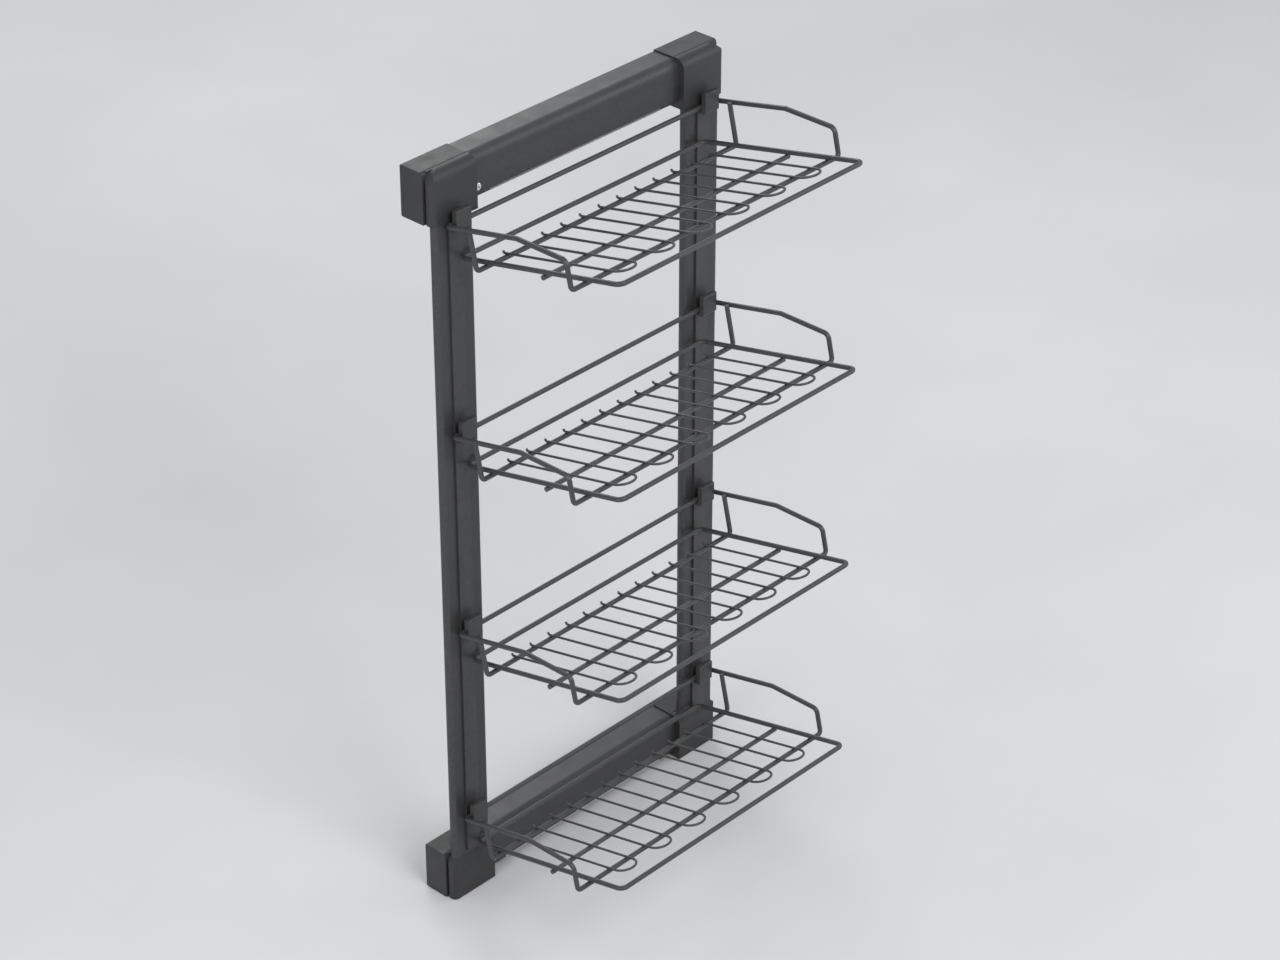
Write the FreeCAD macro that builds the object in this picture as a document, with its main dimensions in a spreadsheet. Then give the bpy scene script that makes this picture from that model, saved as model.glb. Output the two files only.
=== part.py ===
import FreeCAD, Part
import math
import os
import Sketcher

# Insert rack for a pantry cabinet: a tall frame of two flat posts and two crossbars
# with four wire baskets hung on it. All sizes are in millimetres.
# X runs along the width, -Y is the front, +Z is up.
# The origin is the centre of the four fixing bolts, on the flat back of the frame.

doc = FreeCAD.newDocument("PantryRack")
sheet = doc.addObject("Spreadsheet::Sheet", "Sheet")

SIZES = [
    # frame
    ("frame_height", 994.5), ("frame_width", 480.0), ("frame_depth", 48.6),
    ("corner_wide", 71.0), ("corner_tall", 64.0), ("corner_round", 16.0), ("corner_top_round", 12.0),
    ("shell_inset", 2.0), ("shell_bull", 6.75), ("shell_back_round", 4.0), ("shell_overlap", 2.0),
    ("block_round", 4.5), ("block_edge", 2.0),
    ("bar_recess", 9.1), ("bar_tall", 54.0), ("bar_drop", 2.0), ("bar_round", 12.0), ("bar_edge", 2.0),
    ("bar_wall", 2.5), ("bar_front_wall", 5.0),
    ("bar_low_face", 25.0), ("bar_lean", 1.6), ("trim_inset", 29.0), ("trim_tall", 2.0), ("trim_proud", 0.8),
    ("trim_up", 0.3),
    ("post_inset", 36.25), ("post_wide", 60.0), ("post_thick", 11.2), ("post_wall", 1.8),
    ("post_insert", 42.0), ("rib_wide", 21.4), ("rib_proud", 2.4),
    ("bolt_side", 35.0), ("bolt_end", 32.0), ("bolt_radius", 2.5), ("bolt_deep", 22.0),
    # baskets
    ("lowest_basket", 71.4), ("highest_basket", 113.1), ("basket_tilt", 12.9),
    ("ring_inset", 3.75), ("ring_deep", 249.8), ("rod", 6.0), ("slat_rod", 3.0),
    ("rail_bend", 5.0), ("rail_side_clear", 0.15), ("rail_rise", 45.0),
    ("side_bend_at", 121.3), ("side_drop_at", 194.0), ("side_low", 28.5),
    ("rear_support_at", 38.8), ("leg_above", 1.5), ("middle_support_at", 131.8),
    ("ring_bend", 8.5), ("side_bend", 8.0), ("drop_bend", 8.0), ("foot_bend", 5.0),
    ("slat_margin", 32.0), ("slat_bend", 2.2), ("slat_start", 34.0), ("slat_nose", 221.0), ("slat_tip", 2.8),
    # hooks and screws
    ("rail_clear", 0.4), ("rail_drop", 0.3), ("hook_wide", 23.2), ("hook_lip", 6.6),
    ("hook_above", 20.0), ("hook_floor", 3.4), ("hook_round", 1.2), ("hook_base_round", 2.5),
    ("screw_inset", 9.0), ("screw_radius", 5.2), ("screw_high", 2.6), ("screw_up", 12.0),
    ("screw_dome", 2.0), ("shank_radius", 2.2), ("shank_deep", 7.5), ("shank_room", 0.8),
    ("key_radius", 2.2), ("key_deep", 1.5),
]
for row, (name, value) in enumerate(SIZES, start=1):
    sheet.set("A%d" % row, name)
    sheet.set("B%d" % row, str(value))
    sheet.setAlias("B%d" % row, name)
doc.recompute()


def val(name):
    return float(sheet.get(name))


V = FreeCAD.Vector
SPARE = 5.0                                        # how far a cutting shape runs past what it cuts
BASKETS = 4
HAIRPINS = 6
half_height = val("frame_height") / 2
half_width = val("frame_width") / 2
corner_wide = val("corner_wide")
corner_tall = val("corner_tall")
corner_x = half_width - corner_wide                # inner side of a corner piece
face_y = -val("frame_depth")                       # front faces of the corner pieces and ribs
flank_y = face_y + val("rib_proud")                # front face of a post beside its rib
post_back_y = flank_y + val("post_thick")
post_x = half_width - val("post_inset")            # middle line of a post
post_half = val("post_wide") / 2
post_edge = val("post_thick") / 2 - 0.05           # nearly full round, so that a short flat is left
post_end_z = half_height - corner_tall             # where the corner pieces meet the ribs
bar_y = face_y + val("bar_recess")                 # front face of a crossbar
lean = math.degrees(math.atan(val("bar_lean") / val("bar_low_face")))
rod = val("rod")
slat_rod = val("slat_rod")
rail_gap = rod / 2 + val("rail_clear")
rail_y = face_y - rail_gap                         # centre line of a hung basket's back rods
tilt = math.radians(val("basket_tilt"))
rail_forward = val("rail_rise") * math.tan(tilt)   # puts the top rail straight above the ring's
half_ring = post_x - val("ring_inset")
half_rail = post_x + val("hook_wide") / 2 + val("rail_side_clear") + val("rail_bend")
trim_long = 2 * (corner_x - val("trim_inset"))
screw_x = corner_x - val("screw_inset")
pitch_z = (val("frame_height") - val("lowest_basket") - val("highest_basket")) / (BASKETS - 1)


def plane_of(body, role):
    for feature in body.Origin.OriginFeatures:
        if feature.Role == role:
            return feature
    raise ValueError(role)


def new_body(label):
    body = doc.addObject("PartDesign::Body", label)
    body.Label = label
    return body


def new_sketch(body, name, role):
    sketch = body.newObject("Sketcher::SketchObject", name)
    sketch.AttachmentSupport = (plane_of(body, role), [""])
    sketch.MapMode = "FlatFace"
    return sketch


def close_path(sketch, points, arcs):
    """Closed outline. points: corner list. arcs: {corner index: radius} rounds that corner."""
    count = len(points)
    starts = []
    ends = []
    for i in range(count):
        corner = V(points[i][0], points[i][1], 0)
        before = V(points[i - 1][0], points[i - 1][1], 0)
        after = V(points[(i + 1) % count][0], points[(i + 1) % count][1], 0)
        if i in arcs:
            a = (before - corner).normalize()
            b = (after - corner).normalize()
            half = math.acos(max(-1.0, min(1.0, a.dot(b)))) / 2
            run = arcs[i] / math.tan(half)
            enter = corner + a * run
            leave = corner + b * run
            centre = corner + (a + b).normalize() * (arcs[i] / math.sin(half))
            middle = centre + (corner - centre).normalize() * arcs[i]
            sketch.addGeometry(Part.Arc(enter, middle, leave), False)
            ends.append(enter)
            starts.append(leave)
        else:
            ends.append(corner)
            starts.append(corner)
    for i in range(count):
        a = starts[i]
        b = ends[(i + 1) % count]
        if (a - b).Length > 1e-6:
            sketch.addGeometry(Part.LineSegment(a, b), False)


def rectangle(sketch, x0, x1, y0, y1, bound=None):
    """Four lines with driven edges. bound: expressions for x0, x1, y0 and y1."""
    n = sketch.GeometryCount
    corners = [V(x0, y0, 0), V(x1, y0, 0), V(x1, y1, 0), V(x0, y1, 0)]
    for i in range(4):
        sketch.addGeometry(Part.LineSegment(corners[i], corners[(i + 1) % 4]), False)
    for i in range(4):
        sketch.addConstraint(Sketcher.Constraint("Coincident", n + i, 2, n + (i + 1) % 4, 1))
    for i in (0, 2):
        sketch.addConstraint(Sketcher.Constraint("Horizontal", n + i))
    for i in (1, 3):
        sketch.addConstraint(Sketcher.Constraint("Vertical", n + i))
    made = [
        sketch.addConstraint(Sketcher.Constraint("DistanceX", -1, 1, n, 1, x0)),
        sketch.addConstraint(Sketcher.Constraint("DistanceX", -1, 1, n, 2, x1)),
        sketch.addConstraint(Sketcher.Constraint("DistanceY", -1, 1, n, 1, y0)),
        sketch.addConstraint(Sketcher.Constraint("DistanceY", -1, 1, n + 2, 1, y1)),
    ]
    if bound:
        for index, text in zip(made, bound):
            if text:
                sketch.setExpression("Constraints[%d]" % index, text)


def circle(sketch, x, y, radius, bound=None):
    n = sketch.addGeometry(Part.Circle(V(x, y, 0), V(0, 0, 1), radius), False)
    sketch.addConstraint(Sketcher.Constraint("DistanceX", -1, 1, n, 3, x))
    sketch.addConstraint(Sketcher.Constraint("DistanceY", -1, 1, n, 3, y))
    made = sketch.addConstraint(Sketcher.Constraint("Radius", n, radius))
    if bound:
        sketch.setExpression("Constraints[%d]" % made, bound)


def pad(body, sketch, length, expression=None, both=False, back=False):
    feature = body.newObject("PartDesign::Pad", sketch.Name + "Pad")
    feature.Profile = sketch
    feature.Length = length
    feature.Midplane = both
    feature.Reversed = back
    if expression:
        feature.setExpression("Length", expression)
    sketch.Visibility = False
    doc.recompute()
    return feature


def pocket(body, sketch, length, expression=None, both=False, back=False):
    before = body.Shape.Volume
    feature = body.newObject("PartDesign::Pocket", sketch.Name + "Cut")
    feature.Profile = sketch
    feature.Length = length
    feature.Midplane = both
    feature.Reversed = back
    if expression:
        feature.setExpression("Length", expression)
    sketch.Visibility = False
    doc.recompute()
    if body.Shape.Volume > before - 1.0:
        raise ValueError("cut missed: " + sketch.Name)
    return feature


def straight(start, end, diameter):
    axis = end - start
    return Part.makeCylinder(diameter / 2, axis.Length, start, axis)


def bend(corner, before, after, radius, diameter):
    """Quarter-ring where a rod turns at a corner, with the points where it starts and ends."""
    incoming = (corner - before).normalize()
    outgoing = (after - corner).normalize()
    turn = incoming.getAngle(outgoing)
    reach = radius * math.tan(turn / 2)
    start = corner - incoming * reach
    axis = incoming.cross(outgoing).normalize()
    centre = start + axis.cross(incoming) * radius
    disc = Part.Face(Part.Wire(Part.makeCircle(diameter / 2, start, incoming)))
    return disc.revolve(centre, axis, math.degrees(turn)), start, corner + outgoing * reach


def bent_rod(points, radii, diameter, closed=False):
    """Round rod through the points, bent at each corner to the radius given for it."""
    count = len(points)
    pieces = []
    enters = list(points)
    leaves = list(points)
    for i in range(count):
        if closed or 0 < i < count - 1:
            before = points[i - 1]
            after = points[(i + 1) % count]
            piece, enters[i], leaves[i] = bend(points[i], before, after, radii[i], diameter)
            pieces.append(piece)
    for i in range(count if closed else count - 1):
        end = enters[(i + 1) % count]
        if (end - leaves[i]).Length > 0.01:
            pieces.append(straight(leaves[i], end, diameter))
    solid = pieces[0].multiFuse(pieces[1:]).removeSplitter()
    if len(solid.Solids) != 1 or not solid.isValid():
        raise ValueError("bad rod")
    return solid


def hang(obj, level):
    """Hang a basket's rod at its level, turned up at the front by the basket's tilt."""
    obj.Placement = FreeCAD.Placement(V(0, 0, 0), FreeCAD.Rotation(V(1, 0, 0), -val("basket_tilt")))
    obj.setExpression("Placement.Base.y", "-(Sheet.frame_depth + Sheet.rod / 2 + Sheet.rail_clear) * 1mm")
    obj.setExpression("Placement.Base.z", "(Sheet.lowest_basket - Sheet.frame_height / 2 + %d *"
                      " (Sheet.frame_height - Sheet.lowest_basket - Sheet.highest_basket) / %d) * 1mm"
                      % (level, BASKETS - 1))


def post_outline(sketch, side):
    """Section of the left or right post without its rib: a flat bar with round edges."""
    low_x = side * post_x - post_half
    high_x = side * post_x + post_half
    profile = [(low_x, flank_y), (high_x, flank_y), (high_x, post_back_y), (low_x, post_back_y)]
    close_path(sketch, profile, {0: post_edge, 1: post_edge, 2: post_edge, 3: post_edge})


parts = []

# posts: flat round-edged tubes with a raised rib down the middle of the front
for side, name in ((-1, "left"), (1, "right")):
    body = new_body("frame_post_" + name)
    low_x = side * post_x - post_half
    high_x = side * post_x + post_half
    section = new_sketch(body, "PostSection_" + name, "XY_Plane")
    post_outline(section, side)
    length = 2 * (post_end_z + val("post_insert"))
    pad(body, section, length,
        "(Sheet.frame_height - 2 * Sheet.corner_tall + 2 * Sheet.post_insert) * 1mm", both=True)
    rib = new_sketch(body, "PostRib_" + name, "XY_Plane")
    half_rib = val("rib_wide") / 2
    rectangle(rib, side * post_x - half_rib, side * post_x + half_rib, face_y, flank_y + val("post_wall") / 2,
              (None, None, "-Sheet.frame_depth * 1mm", None))
    pad(body, rib, 2 * post_end_z, "(Sheet.frame_height - 2 * Sheet.corner_tall) * 1mm", both=True)
    wall = val("post_wall")
    hollow = new_sketch(body, "PostHollow_" + name, "XY_Plane")
    rectangle(hollow, low_x + post_edge, high_x - post_edge, flank_y + wall, post_back_y - wall)
    pocket(body, hollow, length + SPARE, both=True)
    parts.append(body)

# crossbars: hollow, round along the top front edge, the lower half of the front leaning back
bar_levels = []
for level, top in (("top", half_height), ("bottom", -half_height + corner_tall)):
    body = new_body("crossbar_" + level)
    bar_top = top - val("bar_drop")
    bar_bottom = bar_top - val("bar_tall")
    bar_levels.append((level, bar_bottom))
    profile = [(0, bar_bottom), (0, bar_top), (bar_y, bar_top), (bar_y, bar_bottom + val("bar_low_face")),
               (bar_y + val("bar_lean"), bar_bottom)]
    section = new_sketch(body, "BarSection_" + level, "YZ_Plane")
    close_path(section, profile, {1: val("bar_edge"), 2: val("bar_round")})
    pad(body, section, 2 * corner_x, "(Sheet.frame_width - 2 * Sheet.corner_wide) * 1mm", both=True)
    wall = val("bar_wall")
    hollow = new_sketch(body, "BarHollow_" + level, "YZ_Plane")
    rectangle(hollow, bar_y + val("bar_front_wall"), -wall, bar_bottom + wall, bar_top - wall,
              (None, "-Sheet.bar_wall * 1mm", None, None))
    pocket(body, hollow, 2 * corner_x + SPARE, both=True)
    holes = new_sketch(body, "ScrewHoles_" + level, "XZ_Plane")
    holes.AttachmentOffset = FreeCAD.Placement(V(0, 0, SPARE - bar_y), FreeCAD.Rotation())
    circle(holes, -screw_x, bar_bottom + val("screw_up"), val("shank_radius") + val("shank_room"),
           "(Sheet.shank_radius + Sheet.shank_room) * 1mm")
    pocket(body, holes, 2 * SPARE + val("bar_front_wall"))
    parts.append(body)

# bright trim along the lower front edge of each crossbar
for level, bar_bottom in bar_levels:
    trim = doc.addObject("Part::Box", "crossbar_trim_" + level)
    trim.Label = "crossbar_trim_" + level
    trim.setExpression("Length", "(Sheet.frame_width - 2 * Sheet.corner_wide - 2 * Sheet.trim_inset) * 1mm")
    trim.setExpression("Width", "Sheet.trim_proud * 1mm")
    trim.setExpression("Height", "Sheet.trim_tall * 1mm")
    turn = FreeCAD.Rotation(V(1, 0, 0), lean)
    seat = turn.multVec(V(0, -val("trim_proud"), val("trim_up")))
    trim.Placement = FreeCAD.Placement(V(-trim_long / 2, bar_y + val("bar_lean") + seat.y,
                                         bar_bottom + seat.z), turn)
    parts.append(trim)

# corner pieces: a rear block and a round-edged front shell with a socket for the post
for level, base in (("top", post_end_z), ("bottom", -half_height)):
    top = base + corner_tall
    for side, name in ((-1, "left"), (1, "right")):
        tag = "%s_%s" % (level, name)
        body = new_body("corner_piece_" + tag)
        block = new_sketch(body, "Block_" + tag, "YZ_Plane")
        block.AttachmentOffset = FreeCAD.Placement(V(0, 0, side * corner_x), FreeCAD.Rotation())
        profile = [(0, base), (0, top), (post_back_y, top), (post_back_y, base)]
        close_path(block, profile, {0: val("block_edge"), 1: val("block_edge"), 2: val("block_round")})
        pad(body, block, corner_wide, "Sheet.corner_wide * 1mm", back=side < 0)

        shell = new_sketch(body, "Shell_" + tag, "XY_Plane")
        shell.AttachmentOffset = FreeCAD.Placement(V(0, 0, base), FreeCAD.Rotation())
        bull = val("shell_bull")
        shell_x = side * (half_width - val("shell_inset"))
        back_round = val("shell_back_round")
        crease_x = shell_x - side * (back_round + 0.6)
        root_y = post_back_y + val("shell_overlap")
        profile = [(side * corner_x, face_y), (shell_x, face_y), (shell_x, post_back_y),
                   (crease_x, post_back_y), (crease_x, root_y), (side * corner_x, root_y)]
        close_path(shell, profile, {1: bull, 2: back_round})
        pad(body, shell, corner_tall, "Sheet.corner_tall * 1mm")

        # round off the outer top corner of the shell, then its top front edge
        turn_r = val("corner_round")
        outer = new_sketch(body, "OuterCorner_" + tag, "XZ_Plane")
        outer.AttachmentOffset = FreeCAD.Placement(V(0, 0, -post_back_y), FreeCAD.Rotation())
        run = turn_r + 1
        profile = [(shell_x - side * run, top), (shell_x, top), (shell_x, top - run),
                   (shell_x + side * SPARE, top - run), (shell_x + side * SPARE, top + SPARE),
                   (shell_x - side * run, top + SPARE)]
        close_path(outer, profile, {1: turn_r})
        pocket(body, outer, post_back_y - face_y + SPARE, back=True)
        ease = new_sketch(body, "TopEdge_" + tag, "YZ_Plane")
        run = val("corner_top_round") + 1
        profile = [(face_y + run, top), (face_y, top), (face_y, top - run), (face_y - SPARE, top - run),
                   (face_y - SPARE, top + SPARE), (face_y + run, top + SPARE)]
        close_path(ease, profile, {1: val("corner_top_round")})
        pocket(body, ease, val("frame_width") + SPARE, both=True)

        socket = new_sketch(body, "Socket_" + tag, "XY_Plane")
        mouth_z = base if level == "top" else top
        socket.AttachmentOffset = FreeCAD.Placement(V(0, 0, mouth_z), FreeCAD.Rotation())
        post_outline(socket, side)
        pocket(body, socket, val("post_insert"), "Sheet.post_insert * 1mm", back=level == "top")

        bolt = new_sketch(body, "Bolt_" + tag, "XZ_Plane")
        high = 1 if level == "top" else -1
        circle(bolt, side * (half_width - val("bolt_side")), high * (half_height - val("bolt_end")),
               val("bolt_radius"), "Sheet.bolt_radius * 1mm")
        pocket(body, bolt, val("bolt_deep"), "Sheet.bolt_deep * 1mm", back=True)
        parts.append(body)

# chrome screws, one at the left end of each crossbar: domed head, hexagon recess, short shank
outward = FreeCAD.Rotation(V(1, 0, 0), 90 + lean)
screws = []
for level, bar_bottom in bar_levels:
    seat_z = bar_bottom + val("screw_up")
    seat_y = bar_y + val("bar_lean") * (val("bar_low_face") - val("screw_up")) / val("bar_low_face")
    head = doc.addObject("Part::Cylinder", "ScrewHead_" + level)
    head.setExpression("Radius", "Sheet.screw_radius * 1mm")
    head.setExpression("Height", "Sheet.screw_high * 1mm")
    doc.recompute()
    dome = doc.addObject("Part::Fillet", "ScrewDome_" + level)
    dome.Base = head
    rim = []
    for i, edge in enumerate(head.Shape.Edges, start=1):
        box = edge.BoundBox
        if box.XLength > 1 and abs(box.ZMin - val("screw_high")) < 0.01:
            rim.append((i, val("screw_dome"), val("screw_dome")))
    dome.Edges = rim
    shank = doc.addObject("Part::Cylinder", "ScrewShank_" + level)
    shank.setExpression("Radius", "Sheet.shank_radius * 1mm")
    shank.setExpression("Height", "(Sheet.shank_deep + Sheet.screw_high / 4) * 1mm")
    shank.Placement = FreeCAD.Placement(V(0, 0, -val("shank_deep")), FreeCAD.Rotation())
    whole = doc.addObject("Part::Fuse", "ScrewWhole_" + level)
    whole.Base = dome
    whole.Tool = shank
    key = doc.addObject("Part::Prism", "ScrewKey_" + level)
    key.Polygon = 6
    key.setExpression("Circumradius", "Sheet.key_radius * 1mm")
    key.Height = val("key_deep") + SPARE
    key.Placement = FreeCAD.Placement(V(0, 0, val("screw_high") - val("key_deep")), FreeCAD.Rotation())
    screw = doc.addObject("Part::Cut", "Screw_" + level)
    screw.Base = whole
    screw.Tool = key
    screw.Placement = FreeCAD.Placement(V(-screw_x, seat_y, seat_z), outward)
    screws.append(screw)
group = doc.addObject("Part::Compound", "crossbar_screws")
group.Label = "crossbar_screws"
group.Links = screws
doc.recompute()
parts.append(group)

# hooks on the posts, lowest first: each is a J open upwards that holds a basket's top rail
level_z = [val("lowest_basket") - half_height + i * pitch_z for i in range(BASKETS)]
rail_up = val("rail_rise") * math.cos(tilt) + rail_forward * math.sin(tilt)
for level in range(BASKETS):
    for side, name in ((-1, "left"), (1, "right")):
        tag = "%d_%s" % (BASKETS - level, name)
        body = new_body("rail_hook_" + tag)
        lip_y = rail_y - rail_gap
        front_y = lip_y - val("hook_lip")
        floor_z = -rod / 2 - val("rail_drop")
        base_z = floor_z - val("hook_floor")
        top_z = val("hook_above")
        profile = [(face_y, base_z), (face_y, floor_z), (lip_y, floor_z), (lip_y, top_z),
                   (front_y, top_z), (front_y, base_z)]
        jay = new_sketch(body, "Jay_" + tag, "YZ_Plane")
        close_path(jay, profile, {3: val("hook_round"), 4: val("hook_round"), 5: val("hook_base_round")})
        pad(body, jay, val("hook_wide"), "Sheet.hook_wide * 1mm", both=True)
        body.Placement = FreeCAD.Placement(V(side * post_x, 0, level_z[level] + rail_up),
                                           FreeCAD.Rotation())
        parts.append(body)

# baskets, the top one numbered 1
deep = val("ring_deep")
under = -rod
for level in range(BASKETS):
    tag = "basket_%d_" % (BASKETS - level)

    ring = doc.addObject("Part::Feature", tag + "ring")
    ring.Label = tag + "ring"
    loop = [V(-half_ring, 0, 0), V(-half_ring, -deep, 0), V(half_ring, -deep, 0), V(half_ring, 0, 0)]
    ring.Shape = bent_rod(loop, [val("ring_bend")] * len(loop), rod, closed=True)
    hang(ring, level)
    parts.append(ring)

    # one closed loop: top rail, level sides, sloping fronts, uprights, front floor rod
    up = val("rail_rise")
    drop = -val("side_drop_at")
    left = [V(-half_rail, -rail_forward, up), V(-half_rail, -val("side_bend_at"), up),
            V(-half_rail, drop, val("side_low")), V(-half_rail, drop, under)]
    right = [V(-p.x, p.y, p.z) for p in reversed(left)]
    bail = doc.addObject("Part::Feature", tag + "bail")
    bail.Label = tag + "bail"
    turns = [val("rail_bend"), val("side_bend"), val("drop_bend"), val("foot_bend")]
    bail.Shape = bent_rod(left + right, turns + turns[::-1], rod, closed=True)
    hang(bail, level)
    parts.append(bail)

    # rear floor rod with a leg at each end, standing against the inner side of the loop
    leg_x = half_rail - rod
    leg_top = up + val("leg_above")
    back_y = -val("rear_support_at")
    path = [V(-leg_x, back_y, leg_top), V(-leg_x, back_y, under), V(leg_x, back_y, under),
            V(leg_x, back_y, leg_top)]
    rear = doc.addObject("Part::Feature", tag + "rear_support")
    rear.Label = tag + "rear_support"
    rear.Shape = bent_rod(path, [0, val("foot_bend"), val("foot_bend"), 0], rod)
    hang(rear, level)
    parts.append(rear)

    # middle floor rod, cut off square just outside the ring
    middle = doc.addObject("Part::Cylinder", tag + "middle_support")
    middle.Label = tag + "middle_support"
    middle.setExpression("Radius", "Sheet.rod / 2 * 1mm")
    middle.setExpression("Height", "(Sheet.frame_width - 2 * Sheet.post_inset"
                         " - 2 * Sheet.ring_inset + Sheet.rod) * 1mm")
    turn = FreeCAD.Rotation(V(1, 0, 0), -val("basket_tilt"))
    at = turn.multVec(V(-half_ring - rod / 2, -val("middle_support_at"), under))
    middle.Placement = FreeCAD.Placement(V(at.x, rail_y + at.y, level_z[level] + at.z),
                                         turn.multiply(FreeCAD.Rotation(V(0, 1, 0), 90)))
    parts.append(middle)

    # thin floor rods: six hairpins closed at the front, their back tips turned up
    pitch = 2 * (half_ring - val("slat_margin")) / (2 * HAIRPINS - 1)
    lift = under + rod / 2 + slat_rod / 2
    tail = -val("slat_start") - slat_rod / 2
    nose = -val("slat_nose")
    tip = lift + val("slat_tip")
    loop_r = pitch / 2 - 0.01                      # a touch under half, so the two bends don't meet
    pins = []
    for k in range(HAIRPINS):
        x1 = (2 * k - HAIRPINS + 0.5) * pitch
        x2 = x1 + pitch
        path = [V(x1, tail, tip), V(x1, tail, lift), V(x1, nose, lift), V(x2, nose, lift),
                V(x2, tail, lift), V(x2, tail, tip)]
        pins.append(bent_rod(path, [0, val("slat_bend"), loop_r, loop_r, val("slat_bend"), 0],
                             slat_rod))
    slats = doc.addObject("Part::Feature", tag + "slats")
    slats.Label = tag + "slats"
    slats.Shape = Part.makeCompound(pins)
    hang(slats, level)
    parts.append(slats)

doc.recompute()
for obj in doc.Objects:
    if "Invalid" in obj.State or "Error" in obj.State:
        raise ValueError("%s: %s" % (obj.Name, obj.State))
os.makedirs("parts", exist_ok=True)
for obj in parts:
    shape = obj.Shape
    if shape.isNull() or not shape.isValid():
        raise ValueError("bad shape: " + obj.Label)
    shape.exportStep("parts/%s.step" % obj.Label)
    box = shape.BoundBox
    print("%-28s vol %9.0f  x %.1f %.1f  y %.1f %.1f  z %.1f %.1f" % (
        obj.Label, shape.Volume, box.XMin, box.XMax, box.YMin, box.YMax, box.ZMin, box.ZMax))
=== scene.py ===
import math

import bpy
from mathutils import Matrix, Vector


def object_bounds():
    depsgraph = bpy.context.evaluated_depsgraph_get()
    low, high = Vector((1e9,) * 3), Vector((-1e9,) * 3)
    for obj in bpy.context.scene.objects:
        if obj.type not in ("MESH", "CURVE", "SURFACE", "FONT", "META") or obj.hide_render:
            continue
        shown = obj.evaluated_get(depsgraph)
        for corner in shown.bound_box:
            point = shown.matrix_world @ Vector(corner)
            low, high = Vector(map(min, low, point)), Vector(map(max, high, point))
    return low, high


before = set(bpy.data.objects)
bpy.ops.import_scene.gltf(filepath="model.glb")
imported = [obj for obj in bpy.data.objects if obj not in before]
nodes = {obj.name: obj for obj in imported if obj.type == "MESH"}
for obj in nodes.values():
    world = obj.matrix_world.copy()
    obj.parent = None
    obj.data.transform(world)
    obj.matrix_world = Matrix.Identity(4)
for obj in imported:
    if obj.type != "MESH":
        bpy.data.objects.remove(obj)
cad_low, cad_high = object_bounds()

scene = bpy.context.scene
scene.view_settings.view_transform = "Standard"

FLOOR_GAP = 0.001                       # floor below the lowest point, metres
FLOOR_HALF = 9.0
AZIMUTH = math.radians(-46.9)
ELEVATION = math.radians(31.5)
DISTANCE = 4.36
LENS = 103.2                            # millimetres
TARGET = Vector((0.0178, -0.120, 0.0257))


# ---------------------------------------------------------------- node helpers

class Graph:
    """Small wrapper that adds and links shader nodes."""

    def __init__(self, name):
        self.material = bpy.data.materials.new(name)
        self.material.use_nodes = True
        self.tree = self.material.node_tree
        self.tree.nodes.clear()
        self.out = self.tree.nodes.new("ShaderNodeOutputMaterial")
        self.shader = self.tree.nodes.new("ShaderNodeBsdfPrincipled")
        self.tree.links.new(self.shader.outputs[0], self.out.inputs["Surface"])
        self.place = self.tree.nodes.new("ShaderNodeTexCoord").outputs["Object"]

    def link(self, source, target):
        self.tree.links.new(source, target)

    def noise(self, scale, detail=3.0, roughness=0.5, stretch=(1, 1, 1)):
        where = self.tree.nodes.new("ShaderNodeMapping")
        where.inputs["Scale"].default_value = stretch
        self.link(self.place, where.inputs["Vector"])
        node = self.tree.nodes.new("ShaderNodeTexNoise")
        node.inputs["Scale"].default_value = scale
        node.inputs["Detail"].default_value = detail
        node.inputs["Roughness"].default_value = roughness
        self.link(where.outputs[0], node.inputs["Vector"])
        return node.outputs["Fac"]

    def cells(self, scale):
        node = self.tree.nodes.new("ShaderNodeTexVoronoi")
        node.inputs["Scale"].default_value = scale
        self.link(self.place, node.inputs["Vector"])
        return node.outputs["Distance"]

    def ramp(self, source, low, high, to_low, to_high):
        node = self.tree.nodes.new("ShaderNodeMapRange")
        node.inputs["From Min"].default_value = low
        node.inputs["From Max"].default_value = high
        node.inputs["To Min"].default_value = to_low
        node.inputs["To Max"].default_value = to_high
        self.link(source, node.inputs["Value"])
        return node.outputs[0]

    def math(self, kind, a, b):
        node = self.tree.nodes.new("ShaderNodeMath")
        node.operation = kind
        for socket, value in zip(node.inputs, (a, b)):
            if isinstance(value, (int, float)):
                socket.default_value = value
            else:
                self.link(value, socket)
        return node.outputs[0]

    def blend(self, factor, first, second):
        node = self.tree.nodes.new("ShaderNodeMix")
        node.data_type = "RGBA"
        self.link(factor, node.inputs["Factor"])
        for socket, value in ((node.inputs[6], first), (node.inputs[7], second)):
            if isinstance(value, tuple):
                socket.default_value = (*value, 1)
            else:
                self.link(value, socket)
        return node.outputs[2]

    def bump(self, height, strength, distance, before=None):
        node = self.tree.nodes.new("ShaderNodeBump")
        node.inputs["Strength"].default_value = strength
        node.inputs["Distance"].default_value = distance
        self.link(height, node.inputs["Height"])
        if before:
            self.link(before, node.inputs["Normal"])
        return node.outputs[0]

    def set(self, **values):
        for name, value in values.items():
            self.shader.inputs[name.replace("_", " ")].default_value = value

    def painted_edge_highlight(self, low, high):
        """Painted edge highlight: between 0 on flat faces and 1 on outward edges, broken up a little."""
        point = self.tree.nodes.new("ShaderNodeNewGeometry").outputs["Pointiness"]
        edge = self.ramp(point, low, high, 0.0, 1.0)
        return self.math("MULTIPLY", edge, self.ramp(self.noise(160, 4, 0.6), 0.35, 0.65, 0.3, 1.0))


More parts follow.
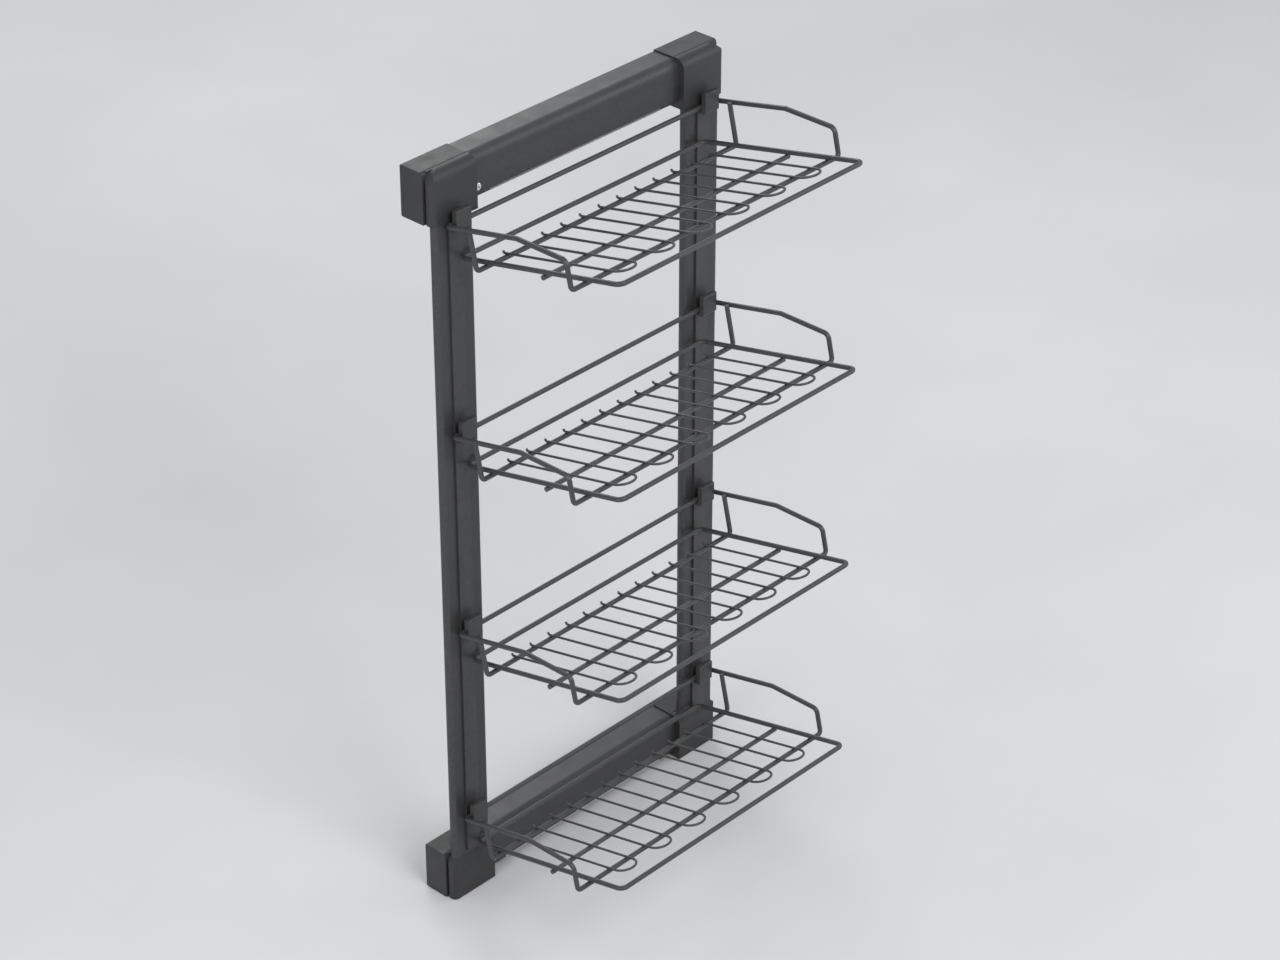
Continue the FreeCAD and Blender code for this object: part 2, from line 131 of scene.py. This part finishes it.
def powder_coat(name, dark, light, rough, grain):
    """Fine-textured coating: speckle of tiny grains, soft mottling, faint painted highlight on outward
    edges.
    """
    g = Graph(name)
    mottle = g.ramp(g.noise(9, 5, 0.55), 0.3, 0.7, 0.0, 1.0)
    speckle = g.ramp(g.noise(1500, 2, 0.6), 0.35, 0.7, 0.0, 1.0)
    base = g.blend(g.math("ADD", g.math("MULTIPLY", mottle, 0.55), g.math("MULTIPLY", speckle, 0.45)),
                   dark, light)
    # painted highlight: outward edges are blended towards a paler tone
    edge = g.painted_edge_highlight(0.54, 0.66)
    highlight_tone = tuple(min(1.0, c * 1.9) for c in light)
    g.link(g.blend(g.math("MULTIPLY", edge, 0.5), base, highlight_tone), g.shader.inputs["Base Color"])
    g.link(g.ramp(g.noise(40, 4, 0.6), 0.3, 0.7, rough - 0.05, rough + 0.06), g.shader.inputs["Roughness"])
    fine = g.bump(g.cells(grain), 0.22, 0.00025)
    broad = g.bump(g.noise(220, 3, 0.5), 0.10, 0.0004, fine)
    g.link(broad, g.shader.inputs["Normal"])
    g.set(Metallic=0.0, IOR=1.5)
    return g.material


def moulded(name, dark, light, rough):
    """Grained moulding with a leather-like erosion texture."""
    g = Graph(name)
    mottle = g.ramp(g.noise(14, 5, 0.55), 0.3, 0.7, 0.0, 1.0)
    g.link(g.blend(mottle, dark, light), g.shader.inputs["Base Color"])
    g.link(g.ramp(g.noise(60, 4, 0.6), 0.3, 0.7, rough - 0.05, rough + 0.06), g.shader.inputs["Roughness"])
    fine = g.bump(g.cells(950), 0.25, 0.0003)
    g.link(g.bump(g.noise(420, 3, 0.6), 0.12, 0.0004, fine), g.shader.inputs["Normal"])
    g.set(IOR=1.46)
    return g.material


def brushed(name, dark, light, rough):
    """Bright metal with fine lines along its length."""
    g = Graph(name)
    lines = g.ramp(g.noise(900, 3, 0.6, (0.02, 1, 1)), 0.3, 0.7, 0.0, 1.0)
    g.link(g.blend(lines, dark, light), g.shader.inputs["Base Color"])
    g.link(g.ramp(lines, 0.0, 1.0, rough - 0.05, rough + 0.07), g.shader.inputs["Roughness"])
    g.link(g.bump(lines, 0.08, 0.0001), g.shader.inputs["Normal"])
    g.set(Metallic=1.0)
    return g.material


def plated(name):
    """Chrome with faint haze and hairline scratches."""
    g = Graph(name)
    haze = g.ramp(g.noise(300, 4, 0.6), 0.35, 0.7, 0.0, 1.0)
    g.link(g.blend(haze, (0.86, 0.86, 0.87), (0.78, 0.78, 0.79)), g.shader.inputs["Base Color"])
    g.link(g.ramp(haze, 0.0, 1.0, 0.08, 0.2), g.shader.inputs["Roughness"])
    g.link(g.bump(g.noise(1400, 2, 0.5, (1, 0.1, 1)), 0.04, 0.0001), g.shader.inputs["Normal"])
    g.set(Metallic=1.0)
    return g.material


coat = powder_coat("anthracite_coat", (0.024, 0.0245, 0.0255), (0.038, 0.0385, 0.0395), 0.44, 1300)
wire = powder_coat("wire_coat", (0.036, 0.0365, 0.0375), (0.056, 0.0565, 0.058), 0.36, 1700)
corner = moulded("corner_moulding", (0.024, 0.0245, 0.0255), (0.036, 0.0365, 0.0375), 0.48)
bright = brushed("bright_trim", (0.66, 0.66, 0.67), (0.84, 0.84, 0.85), 0.28)
chrome = plated("screw_chrome")

def look_for(node):
    """The material that a CAD node wears, from its name."""
    if node == "crossbar_screws":
        return chrome
    for start, material in (("basket", wire), ("corner_piece", corner), ("crossbar_trim", bright)):
        if node.startswith(start):
            return material
    return coat


for name, obj in nodes.items():
    for slot in obj.material_slots:
        slot.material = look_for(name)


# ---------------------------------------------------------------- floor

floor_z = cad_low.z - FLOOR_GAP


def stage_mesh(name, points, faces):
    mesh = bpy.data.meshes.new(name)
    mesh.from_pydata(points, [], faces)
    obj = bpy.data.objects.new(name, mesh)
    scene.collection.objects.link(obj)
    return obj


def pale(name):
    """Pale matt ground with faint mottling."""
    g = Graph(name)
    tone = g.ramp(g.noise(1.4, 4, 0.5), 0.3, 0.7, 0.0, 1.0)
    g.link(g.blend(tone, (0.62, 0.62, 0.625), (0.68, 0.68, 0.685)), g.shader.inputs["Base Color"])
    g.set(Roughness=0.85)
    g.link(g.bump(g.noise(120, 3, 0.5), 0.05, 0.001), g.shader.inputs["Normal"])
    return g.material


corners = [(x, y, floor_z) for x, y in ((-FLOOR_HALF, -FLOOR_HALF), (FLOOR_HALF, -FLOOR_HALF),
                                        (FLOOR_HALF, FLOOR_HALF), (-FLOOR_HALF, FLOOR_HALF))]
floor = stage_mesh("floor", corners, [(0, 1, 2, 3)])
floor.data.materials.append(pale("pale_floor"))


# ---------------------------------------------------------------- light

world = bpy.data.worlds.new("studio")
scene.world = world
world.use_nodes = True
tree = world.node_tree
tree.nodes.clear()
output = tree.nodes.new("ShaderNodeOutputWorld")
dim = tree.nodes.new("ShaderNodeBackground")
dim.inputs["Color"].default_value = (0.9, 0.92, 0.95, 1)
dim.inputs["Strength"].default_value = 0.6
seen = tree.nodes.new("ShaderNodeBackground")
seen.inputs["Color"].default_value = (0.93, 0.93, 0.935, 1)
seen.inputs["Strength"].default_value = 0.95
path = tree.nodes.new("ShaderNodeLightPath")
either = tree.nodes.new("ShaderNodeMath")
either.operation = "MAXIMUM"
tree.links.new(path.outputs["Is Camera Ray"], either.inputs[0])
tree.links.new(path.outputs["Is Transmission Ray"], either.inputs[1])
mix = tree.nodes.new("ShaderNodeMixShader")
tree.links.new(either.outputs[0], mix.inputs[0])
tree.links.new(dim.outputs[0], mix.inputs[1])
tree.links.new(seen.outputs[0], mix.inputs[2])
tree.links.new(mix.outputs[0], output.inputs["Surface"])

centre = (cad_low + cad_high) / 2


def lamp(name, place, size, power):
    data = bpy.data.lights.new(name, "AREA")
    data.shape = "RECTANGLE"
    data.size = size[0]
    data.size_y = size[1]
    data.energy = power
    obj = bpy.data.objects.new(name, data)
    obj.location = place
    obj.rotation_mode = "QUATERNION"
    obj.rotation_quaternion = (centre - Vector(place)).to_track_quat("-Z", "Y")
    scene.collection.objects.link(obj)


lamp("key", (-0.6, -3.0, 2.6), (2.0, 1.6), 70)
lamp("side", (-3.2, -0.4, 1.2), (1.4, 2.2), 30)
lamp("fill", (2.8, -1.8, 1.4), (1.8, 1.8), 24)
lamp("rim", (1.6, 2.6, 2.2), (1.6, 1.0), 30)


# ---------------------------------------------------------------- camera

back = Vector((math.sin(AZIMUTH) * math.cos(ELEVATION), -math.cos(AZIMUTH) * math.cos(ELEVATION),
               math.sin(ELEVATION)))
camera = bpy.data.objects.new("camera", bpy.data.cameras.new("camera"))
camera.data.lens = LENS
camera.location = TARGET + back * DISTANCE
camera.rotation_mode = "QUATERNION"
camera.rotation_quaternion = (-back).to_track_quat("-Z", "Y")
camera.data.clip_end = 100.0
scene.collection.objects.link(camera)
scene.camera = camera
